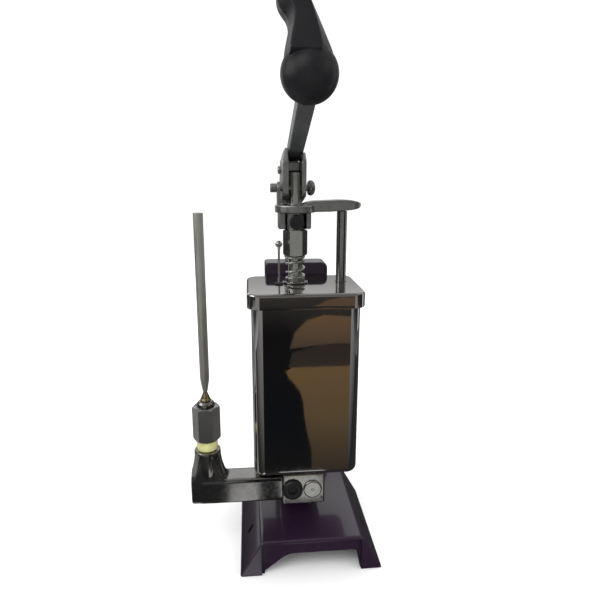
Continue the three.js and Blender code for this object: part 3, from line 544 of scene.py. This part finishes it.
def crosshead():
    ring = spun("crosshead", (AX, AY, 0), "z", [(0, 280), (16.1, 280, 1), (16.1, 286, 1.4), (0, 286)], 96)
    arm = plate("tool", [(-5, 280.2), (20, 280.7), (36, 281.8, 4), (42.5, 283.2, 1.5), (44.6, 285.4, 1.5),
                         (43.5, 287.6, 1.5), (38, 289.3, 4), (28, 289.8, 4), (4, 288.9, 5), (0, 287.4, 3),
                         (-5, 285.6)], 72, 88, 0.3, "xz")
    outline = [(-11, 72), (36.6, 72), *arc(36.6, AY, 8, range(10, 180, 10)), (36.6, 88), (-11, 88)]
    combine(arm, [plate("tool", outline, 279.6, 292, 2.2)], "INTERSECT")
    remesh(arm, 0.4, 4)
    hub = spun("tool", (AX, AY, 0), "z", [(0, 266.5), (7.2, 266.5, 0.6), (7.2, 281), (0, 281)], 72)
    ear = plate("tool", [(75, 282), (85, 282), (85, 299, 1), (83.5, 302.5, 2), (80, 304, 2), (76.5, 302.5, 2),
                         (75, 299, 1)], AX - 14.4, AX - 11.8, 0.35, "yz")
    join(ring, hub, ear, arm)
    cut(ring, post((AX, AY, 0), "z", 260, 292, 5.8, 64), post(LOAD_PIN, "x", -30, -14, 2.9),
        post(CLAMP_SCREW, "y", 66, 78, 2.3), post((GUIDE_X, AY, 0), "z", 275, 286.3, 3.1))
    done(ring, STEEL, "crosshead_plate")

    fork = [(-13.4, 94, 3), (-13.4, 77.5, 1.2), (-7.7, 77.5, 0.8), (-7.7, 88.5, 2), (8.6, 88.5, 2),
            (8.6, 77.5, 0.8), (12.6, 77.5, 1.2), (12.6, 94, 3)]
    saddle = plate("saddle", [(AX + a, b, r) for a, b, r in fork], 266.8, 279.7, 0.9)
    done(saddle, STEEL, "yoke_saddle")
    done(spun("guide_pillar", (GUIDE_X, AY, 0), "z", [
        (0, 192), (3.2, 192), (4.05, 193.2, 0.3), (4.05, 280.8, 0.4), (2.8, 280.8), (2.8, 286),
        (0, 286)], 56), DARK, "guide_rod")
    done(spun("load_spindle", LOAD_PIN, "x", [
        (0, -27.7), (3.5, -27.7, 0.8), (3.5, -22.7, 0.4), (2.6, -22.7), (2.6, 7.6, 0.5), (0, 7.6)], 48),
        STEEL, "load_pin")
    done(spun("pin_cup", LOAD_PIN, "x", [
        (2.9, 1.6), (4.8, 1.6, 0.5), (6, 3.2, 0.6), (6, 4.8, 0.6), (5, 6.4, 0.6), (3.6, 7.2, 0.4),
        (2.9, 7.2)], 56, True), DARK, "pin_retainer")
    head = spun("clamp_knob", CLAMP_SCREW, "y", [
        (0, 64.6), (2, 64.6, 0.2), (2.3, 65.1, 0.2), (4.8, 64.6, 0.3), (5.6, 65.3, 0.4), (5.6, 70, 0.5),
        (3, 70.6, 0.3), (2, 70.8), (2, 77.6), (0, 77.6)], 144,
        ripple=lambda a, h: 1 + (0.035 * math.cos(18 * a) if 65.2 < h < 70.2 else 0))
    done(head, GRIP, "thumb_screw", sharp=50)


# ---- lever --------------------------------------------------------------------------------
def bar_z(y):
    return BAR_Z - BAR_SLOPE * (y - BALL_Y)


def bar_side(y0, y1, grow=0.0):
    """Side outline of the 12 mm deep sloping bar between y0 and y1."""
    rise = 6 * math.hypot(1, BAR_SLOPE) + grow
    return [(y0, bar_z(y0) - rise), (y1, bar_z(y1) - rise), (y1, bar_z(y1) + rise), (y0, bar_z(y0) + rise)]


def lever():
    left, right = -18.5, -0.4
    rivets = (("front", 84, 325.6), ("rear", 91.5, 323.6))
    cheek = [(68, 294, 2), (70, 292.4, 1), (84, 289.6, 8), (103, 285.6, 4), (110, 285, 3), (115, 288.4, 3),
             (116.4, 293, 3), (115.6, 297, 3), (103, 322, 5), (98, 327.6, 3), (84, 329.6, 3), (79, 328, 3),
             (66.8, 319, 2.5)]
    for label, x0, x1 in (("left", left, -13.9), ("right", -3.7, right)):
        body = plate(f"cheek_{label}", cheek, x0, x1, 0.5, "yz")
        slot = plate("tool", [(76.1, 295.7, 2.4), (83.9, 295.7, 2.4), (83.9, 301.9, 2.4), (76.1, 301.9, 2.4)],
                     -30, 12, 0.01, "yz")
        tools = [post(FULCRUM, "x", -30, 12, 3.3), post(CROSS_BOLT, "x", -30, 12, 2.7), slot]
        tools += [post((0, y, z), "x", -30, 12, 2.1, 32) for _, y, z in rivets]
        if label == "left":
            lean = [(-24, 319), (-18.5, 319), (-14.3, 334), (-24, 334)]
            tools.append(plate("tool", lean, 60, 120, 0.01, "xz"))
        else:
            tools.append(plate("tool", bar_side(50, 120, GAP), -6, 2, 0.01, "yz"))
        cut(body, *tools)
        done(body, STEEL, f"lever_cheek_{label}", sharp=24)
    for label, y, z in rivets:
        done(spun(f"rivet_{label}", (0, y, z), "x", [
            (0, -16.2), (1.4, -16.2, 0.4), (1.9, -15.8, 0.2), (1.9, -1.8), (1.4, -1.4, 0.3), (0, -1.4)], 40),
            STEEL, f"bar_rivet_{label}")

    bar = plate("bar_casting", bar_side(-13.6, 94), -13.3, -1.8, 1.1, "yz")
    cut(bar, *[post((0, y, z), "x", -30, 12, 2.2, 32) for _, y, z in rivets])
    done(bar, BAR, "lever_bar")
    spacer = plate("spacer_block", [
        (85.5, 311.6, 0.8), (98, 311.6), (98, 300.6, 0.8), (101.4, 300.6, 0.8), (101.4, 322.6, 1),
        (99, 325.6, 0.8), (94.4, 326.4, 0.8), (94.4, 318.6), (85.5, 318.6, 0.8)], -13.5, -4.1, 0.4, "yz")
    cut(spacer, post(CROSS_BOLT, "x", -30, 12, 2.7), post((0, 95, 314.5), "x", -30, 12, 2.7))
    done(spacer, STEEL, "cheek_spacer")
    done(spun("cross_bolt", CROSS_BOLT, "x", [
        (0, -20.9), (2.5, -20.9, 0.5), (3.1, -20.3, 0.3), (3.1, left - GAP), (2.4, left - GAP),
        (2.4, right + GAP), (3.1, right + GAP), (3.1, right + 2, 0.7), (0, right + 2)], 40),
        STEEL, "spacer_bolt")
    done(spun("fulcrum_spindle", FULCRUM, "x", [
        (0, left - 2.6), (4.8, left - 2.6, 0.9), (4.8, left - GAP), (3, left - GAP), (3, right + GAP),
        (4.8, right + GAP), (4.8, right + 2.6, 0.9), (0, right + 2.6)], 48), STEEL, "fulcrum_pin")


def grip():
    """A hooked hand piece lofted through four outlines, front face last, above a round ball."""
    centre = Vector((AX, BALL_Y, BALL_Z))
    lean = Matrix.Translation(centre) @ Matrix.Rotation(-0.232, 4, "X")
    outline = [(-13.4, 2, 1), (14, 2, 1), (14.2, 11.1, 3), (8.4, 26, 4), (0.9, 43.6, 5), (-1.6, 50, 3),
               (-4.4, 54, 3), (-10.5, 54.6, 4), (-16.6, 52, 4), (-18.9, 44.6, 5), (-17.4, 37.6, 4),
               (-12.6, 31.6, 4), (-11.6, 26, 4), (-15.1, 10, 4)]
    face = [(-12, 7.4, 0.4), (5, 7.4, 0.4), (5.6, 11, 1), (2.6, 26, 4), (-2.6, 43.6, 5), (-4.8, 48.4, 3),
            (-7.2, 51.2, 3), (-10.8, 51.7, 3), (-13.8, 49.6, 3), (-15.2, 44.4, 4), (-13.6, 38.2, 4),
            (-9.6, 31.6, 4), (-9.2, 25, 4), (-12.1, 10.4, 2)]
    back = [(a * 0.82 - 0.6, 26 + (b - 26) * 0.93, c) for a, b, c in outline]
    rings = []
    for shape, depth, tilt in ((back, 8.5, 0), (outline, 5.5, 0), (outline, -2, 0), (face, -17.2, 0.09)):
        rings.append([tuple(lean @ Vector((a, depth + tilt * b, b))) for a, b in soften(shape, True, 4)])
    body = loft("grip_moulding", rings)
    join(body, spun("tool", (AX, BALL_Y, 0), "z", arc(0, BALL_Z, BALL_R, range(0, 181, 6)), 64))
    remesh(body, 0.5, 3)
    cut(body, plate("tool", bar_side(-13.9, 40, GAP), -13.6, -1.5, 0.01, "yz"))
    done(body, GRIP, "grip", sharp=60, weighted=False)


def vent_pin():
    stem = [(0, 158), (0.9, 158, 0.3), (0.9, 251.6), (1.5, 251.9, 0.2)]
    knob = arc(0, 255.5, 2.8, range(20, 181, 10))
    done(spun("vent_plunger", VENT, "z", stem + knob, 32), NICKEL, "vent_pin")


# ---- outlet -------------------------------------------------------------------------------
def outlet():
    x, y = TUBE_X, TUBE_Y
    outline = [(-21.3, 40), (-21.3, 59.5)]
    outline += [(-84.9 + 9.75 * math.cos(math.radians(a)), 49.75 + 9.75 * math.sin(math.radians(a)))
                for a in range(90, 271, 12)]
    arm = plate("arm_casting", outline, 49.8, 71, 2.2)
    flare = spun("tool", (x, y, 0), "z", [
        (0, 49.8), (17, 49.8), (17, 70, 1.5), (14.4, 73.5, 3), (12.4, 79, 4), (10.9, 86, 4), (10.5, 90),
        (0, 90)], 96)
    combine(flare, [block(-94.6, -50, 40.2, 59.3, 49.8, 104, 3)], "INTERSECT")
    barrel = spun("tool", (x, y, 0), "z", [(0, 62), (8, 62), (10.5, 78, 6), (10.5, 94.8, 0.8), (0, 94.8)], 96)
    join(arm, flare, barrel)
    remesh(arm, 0.6, 6)
    cut(arm, post((x, y, 0), "z", 58, 96, PASSAGE_R, 40), spun("tool", (x, y, 0), "z", [
        (0, 93.2), (8.7, 93.2), (8.9, 96), (0, 96)], 64), post((0, y, PASSAGE_Z), "x", x, -20, PASSAGE_R, 40))
    done(arm, DARK, "outlet_arm", sharp=50, weighted=False)

    done(spun("seal_ring", (x, y, 0), "z", [
        (3.4, 95.1), (8.0, 95.1, 0.6), (8.35, 97, 1), (8.3, 101, 1), (8.0, 103, 0.6), (3.4, 103)], 72, True),
        SEAL, "sealing_washer")
    nut = hexagon("coupling_nut", 103.3, 132, 19, 2.4, x, y)
    cut(nut, post((x, y, 0), "z", 100, 135, PASSAGE_R, 48))
    done(bevel(nut, 0.35, 3), DARK, "hex_coupling")
    done(spun("ferrule", (x, y, 0), "z", [
        (3, 132.3), (7.2, 132.3, 0.3), (6.7, 134.4, 0.8), (5.2, 136, 0.4), (3, 136)], 64, True),
        DARK, "nozzle_ferrule")
    done(spun("brass_tip", (x, y, 0), "z", [
        (0.6, 130), (2.7, 130), (2.7, 136.3), (4.2, 136.3, 0.3), (4.1, 137.3, 0.3), (3.6, 138.2, 0.3),
        (1.6, 143.3, 0.8), (1.25, 146, 0.1), (0.6, 146)], 56, True), BRASS, "nozzle_cone")
    done(spun("upright_tube", (x, y, 0), "z", [
        (1.5, 144.2), (1.9, 144.2, 0.1), (3.0, 150.6, 1.5), (3.6, 154.6, 2), (3.6, 281.8, 0.2),
        (2.8, 281.8, 0.2), (2.8, 154), (1.5, 147.5)], 64, True), TUBE, "filling_tube")


def valve_block():
    body = plate("manifold", [(-21, 40.3, 1), (12.9, 40.3, 1.5), (12.9, 96, 2), (-21, 96, 2)],
                 46.3, 72.4, 0.8)
    tools = [post(SOCKET_PLUG, "y", 39, 76, 5), post(SOCKET_PLUG, "y", 39, 47.3, 6.3),
             post(ROUND_PLUG, "y", 39, 47.3, 6.3), post((AX, AY, 0), "z", 45, 51.5, 7.6),
             post((AX, AY, 0), "z", 45, 66, 6), post((AX, AY, 0), "z", 60, 73, 3.5),
             post((0, TUBE_Y, PASSAGE_Z), "x", -22, -13.2, PASSAGE_R, 40),
             post((10.2, 0, 51.2), "y", 39, 42, 1.1, 24)]
    cut(body, *tools)
    done(body, NICKEL, "valve_block")
    plug = spun("socket_cap", SOCKET_PLUG, "y", [
        (0, 37.3), (7.4, 37.3, 0.4), (8.2, 38.1, 0.4), (8.2, 40, 0), (6, 40), (6, 46.3), (0, 46.3)], 64)
    dish = [(0, 36), (7.0, 36), (6.6, 38.4, 0.3), (4.4, 38.6), (0, 38.6)]
    cut(plug, post(SOCKET_PLUG, "y", 36, 40.8, 4.4, 6), spun("tool", SOCKET_PLUG, "y", dish, 48))
    done(bevel(plug, 0.2), BLACKENED, "socket_plug")
    done(spun("disc_cap", ROUND_PLUG, "y", [
        (0, 38.9), (1.0, 38.9, 0.1), (1.3, 38.7, 0.1), (6.8, 38.6, 0.4), (7.6, 39.2, 0.4), (7.6, 40),
        (5.8, 40), (5.8, 46.3), (0, 46.3)], 72), NICKEL, "round_plug")


base_casting()
rear_column()
fulcrum_post()
tank()
lid()
coil_spring("return_coil", "return_spring", NICKEL, 225.6, 245.7, 7.2, 0.9, 4)
coil_spring("valve_coil", "valve_spring", STEEL, 51.3, 59.2, 3.9, 0.4, 3, 24, 8)
plunger()
crosshead()
lever()
grip()
vent_pin()
outlet()
valve_block()

# Hidden and plain turned pieces keep their machined shape and take a finish of their own.
for mat, names in {
    NICKEL: ("pump_cylinder", "piston", "bottom_plug", "discharge_ball", "tank_screw_lower",
             "tank_screw_upper"),
    STEEL: ("cylinder_stud_left", "cylinder_stud_right", "cylinder_stud_front", "cylinder_stud_rear",
            "piston_screw"),
    BRASS: ("gland_bush", "guide_bush"),
    RUBBER: ("cylinder_gasket", "piston_seal"),
    BLACKENED: ("tank_spacer_lower", "tank_spacer_upper"),
}.items():
    for name in names:
        part = frame["nodes"][name]
        part.data.materials.clear()
        part.data.materials.append(mat)


# ---- studio -------------------------------------------------------------------------------
def glow(name, stops, axis="Z", low=0.0, high=0.7, ripple=0.06, scale=5.0):
    """Light that changes along one axis: stops are (position, colour or grey level)."""
    m = bpy.data.materials.new(name)
    m.use_nodes = True
    m.cycles.emission_sampling = "NONE"
    nodes, links = m.node_tree.nodes, m.node_tree.links
    nodes.clear()
    out = nodes.new("ShaderNodeOutputMaterial")
    light = nodes.new("ShaderNodeEmission")
    where = nodes.new("ShaderNodeTexCoord")
    split = nodes.new("ShaderNodeSeparateXYZ")
    along = nodes.new("ShaderNodeMapRange")
    along.inputs["From Min"].default_value = low
    along.inputs["From Max"].default_value = high
    noise = nodes.new("ShaderNodeTexNoise")
    noise.inputs["Scale"].default_value = scale
    noise.inputs["Detail"].default_value = 3.0
    sway = nodes.new("ShaderNodeMath")
    sway.operation = "MULTIPLY_ADD"
    sway.inputs[1].default_value = 2 * ripple
    shift = nodes.new("ShaderNodeMath")
    shift.operation = "SUBTRACT"
    shift.inputs[1].default_value = ripple
    ramp = nodes.new("ShaderNodeValToRGB")
    points = ramp.color_ramp.elements
    while len(points) < len(stops):
        points.new(0.5)
    for point, (at, level) in zip(points, stops):
        point.position = at
        point.color = (*level, 1) if isinstance(level, tuple) else (level, level, level, 1)
    links.new(where.outputs["Object"], split.inputs[0])
    links.new(where.outputs["Object"], noise.inputs["Vector"])
    links.new(split.outputs[axis], along.inputs["Value"])
    links.new(noise.outputs["Fac"], sway.inputs[0])
    links.new(along.outputs["Result"], sway.inputs[2])
    links.new(sway.outputs[0], shift.inputs[0])
    links.new(shift.outputs[0], ramp.inputs["Fac"])
    links.new(ramp.outputs["Color"], light.inputs["Color"])
    links.new(light.outputs["Emission"], out.inputs["Surface"])
    return m


def card(name, corners, mat, strength=1.0):
    """A panel, in metres, that only shows in reflections."""
    mesh = bpy.data.meshes.new(name)
    mesh.from_pydata(corners, [], [tuple(range(len(corners)))])
    mesh.materials.append(mat)
    mat.node_tree.nodes["Emission"].inputs["Strength"].default_value = strength
    obj = bpy.data.objects.new(name, mesh)
    bpy.context.scene.collection.objects.link(obj)
    obj.visible_camera = False
    obj.visible_diffuse = False
    obj.visible_shadow = False
    obj.visible_transmission = False


def surroundings():
    """The dim room that the polished metal mirrors; sizes in metres."""
    x, y0, y1, z0, z1 = 0.55, -0.62, 0.6, 0.0004, 0.8
    pale, patch = 0.0006, 0.0008  # heights of the panels that lie on the floor
    card("room_floor", [(-x, y0, z0), (x, y0, z0), (x, y1, z0), (-x, y1, z0)],
         glow("floor_tone", [(0, 0.3), (0.3, 0.16), (0.42, 0.03), (0.75, 0.05), (1, 0.3)], "Y", y0, y1))
    card("floor_side", [(-x, -0.05, pale), (-0.065, -0.05, pale), (-0.065, 0.25, pale), (-x, 0.25, pale)],
         glow("side_tone", [(0, 0.42), (1, 0.34)], "X", -x, -0.065))
    card("room_back", [(-x, y1, z0), (x, y1, z0), (x, y1, z1), (-x, y1, z1)],
         glow("back_tone", [(0, 0.12), (0.2, 0.05), (0.33, 0.2), (0.42, 0.42), (0.52, 0.85), (0.8, 0.7),
                            (1, 0.3)], low=0.0, high=z1, ripple=0.04))
    card("room_front", [(x, y0, z0), (-x, y0, z0), (-x, y0, z1), (x, y0, z1)],
         glow("front_tone", [(0, 0.32), (0.3, 0.3), (0.45, 0.2), (0.7, 0.08), (1, 0.2)]))
    card("room_left", [(-x, y0, z0), (-x, y1, z0), (-x, y1, z1), (-x, y0, z1)],
         glow("left_tone", [(0, 0.5), (0.05, 0.3), (0.1, 0.03), (0.3, 0.03), (0.45, 0.2), (1, 0.35)]))
    card("room_right", [(x, y1, z0), (x, y0, z0), (x, y0, z1), (x, y1, z1)],
         glow("right_tone", [(0, 0.2), (0.06, 0.1), (0.12, 0.03), (0.4, 0.04), (0.6, 0.2), (1, 0.35)]))
    card("room_ceiling", [(-x, y0, z1), (-x, y1, z1), (x, y1, z1), (x, y0, z1)],
         glow("ceiling_tone", [(0, 0.15), (0.4, 0.3), (0.7, 0.5), (1, 0.35)], "Y", y0, y1))

    white = glow("softbox", [(0, 0.9), (1, 1.0)], ripple=0.3)
    card("softbox_left", [(-0.54, -0.35, 0.34), (-0.54, 0.1, 0.34), (-0.5, 0.1, 0.7), (-0.5, -0.35, 0.7)],
         white, 2.2)
    card("softbox_right", [(0.53, 0.16, 0.05), (0.53, 0.05, 0.05), (0.53, 0.05, 0.6), (0.53, 0.16, 0.6)],
         white.copy(), 1.1)
    card("softbox_rear", [(-0.42, 0.58, 0.1), (-0.28, 0.58, 0.1), (-0.28, 0.58, 0.6), (-0.42, 0.58, 0.6)],
         white.copy(), 1.1)
    # Glowing panel on the floor whose reflection paints a highlight on the front of the left leg.
    card("leg_highlight_panel", [(-0.05, -0.13, patch), (-0.0215, -0.13, patch), (-0.0215, -0.038, patch),
                       (-0.05, -0.038, patch)], white.copy(), 0.8)
    card("light_patch", [(0.0, -0.14, patch), (0.046, -0.14, patch), (0.046, -0.088, patch),
                         (0.0, -0.088, patch)], white.copy(), 0.7)

    screen_y, level, spread = -84, 308, 1.322

    def seen(x, z):
        """Point of a screen before the tank that shows in the mirror at (x, z) of the tank's face."""
        return place((EYE[0] + (x - EYE[0]) * spread, screen_y, level + (z - level) * spread))

    screens = {
        "screen_dark": ([(-52, 73), (46, 73), (46, 226), (-52, 226)],
                        [(0, (0.014, 0.014, 0.014)), (0.3, (0.0085, 0.0098, 0.0125)),
                         (0.75, (0.01, 0.01, 0.011)), (1, (0.06, 0.055, 0.05))]),
        "screen_low": ([(2.5, 73), (46, 73), (46, 166), (20, 169), (4, 171), (-7, 170), (-19, 163),
                        (-17, 158), (-12, 152), (-8, 146), (-5.5, 138), (-4.5, 125), (-2, 110), (1, 98),
                        (1.5, 85)],
                       [(0, (0.055, 0.042, 0.033)), (0.3, (0.1, 0.07, 0.043)), (0.55, (0.155, 0.107, 0.055)),
                        (1, (0.2, 0.128, 0.06))]),
        "screen_band": ([(-17, 166), (46, 166), (46, 181), (20, 184), (6, 183), (-14, 178)],
                        [(0, (0.05, 0.04, 0.033)), (1, (0.042, 0.034, 0.03))]),
        "screen_high": ([(-16, 181), (6, 183.5), (20, 184.5), (46, 183), (46, 204), (10, 207), (-3, 203),
                         (-12, 194)],
                        [(0, (0.1, 0.072, 0.052)), (0.5, (0.15, 0.1, 0.06)), (1, (0.19, 0.115, 0.06))]),
        "screen_rim": ([(0, 213), (46, 210), (46, 222), (22, 224)],
                       [(0, (0.13, 0.09, 0.06)), (1, (0.16, 0.1, 0.07))]),
    }
    for depth, (name, (outline, stops)) in enumerate(screens.items()):
        points = [Vector(seen(*p)) + Vector((0, 0.0004 * depth, 0)) for p in outline]
        low, high = min(p.z for p in points), max(p.z for p in points)
        card(name, points, glow(f"{name}_tone", stops, "Z", low, high, 0.12, 14.0))


def studio():
    floor_mat = material("studio_floor", (0.93, 0.93, 0.93), 0.0, 0.9, shade=(0.92, 0.92, 0.92), tone_scale=3)
    floor_mat.node_tree.nodes["Principled BSDF"].inputs["Specular IOR Level"].default_value = 0.0
    floor = bpy.data.meshes.new("floor")
    far = 6
    floor.from_pydata([(-far, -far, 0), (far, -far, 0), (far, far, 0), (-far, far, 0)], [], [(0, 1, 2, 3)])
    floor.materials.append(floor_mat)
    ground = bpy.data.objects.new("floor", floor)
    bpy.context.scene.collection.objects.link(ground)
    surroundings()

    world = bpy.data.worlds.new("studio")
    bpy.context.scene.world = world
    world.use_nodes = True
    world.node_tree.nodes["Background"].inputs["Color"].default_value = (1, 1, 1, 1)
    world.node_tree.nodes["Background"].inputs["Strength"].default_value = 1.12
    for name, at, size, power in (("key", (-0.7, -0.9, 1.3), 0.9, 9), ("fill", (0.9, -0.5, 0.9), 0.8, 3),
                                  ("rim", (0.2, 1.1, 1.2), 1.0, 5)):
        light = bpy.data.lights.new(name, "AREA")
        light.energy = power
        light.size = size
        obj = bpy.data.objects.new(name, light)
        obj.location = at
        obj.rotation_euler = (Vector((0, 0, 0.18)) - Vector(at)).to_track_quat("-Z", "Y").to_euler()
        bpy.context.scene.collection.objects.link(obj)
    bpy.context.scene.view_settings.view_transform = "Standard"


def camera():
    yaw, pitch, roll = math.radians(5.53), math.radians(-13.29), math.radians(0.14)
    ahead = Vector((math.sin(yaw) * math.cos(pitch), math.cos(yaw) * math.cos(pitch), math.sin(pitch)))
    side = Vector((math.cos(yaw), -math.sin(yaw), 0))
    up = side.cross(ahead)
    right = math.cos(roll) * side + math.sin(roll) * up
    top = math.cos(roll) * up - math.sin(roll) * side
    data = bpy.data.cameras.new("camera")
    data.sensor_width = 36
    data.lens = 31.54
    data.clip_start = 0.01
    obj = bpy.data.objects.new("camera", data)
    turn = Matrix((right, top, -ahead)).transposed().to_4x4()
    obj.matrix_world = Matrix.Translation(place(EYE)) @ turn
    bpy.context.scene.collection.objects.link(obj)
    bpy.context.scene.camera = obj


studio()
camera()
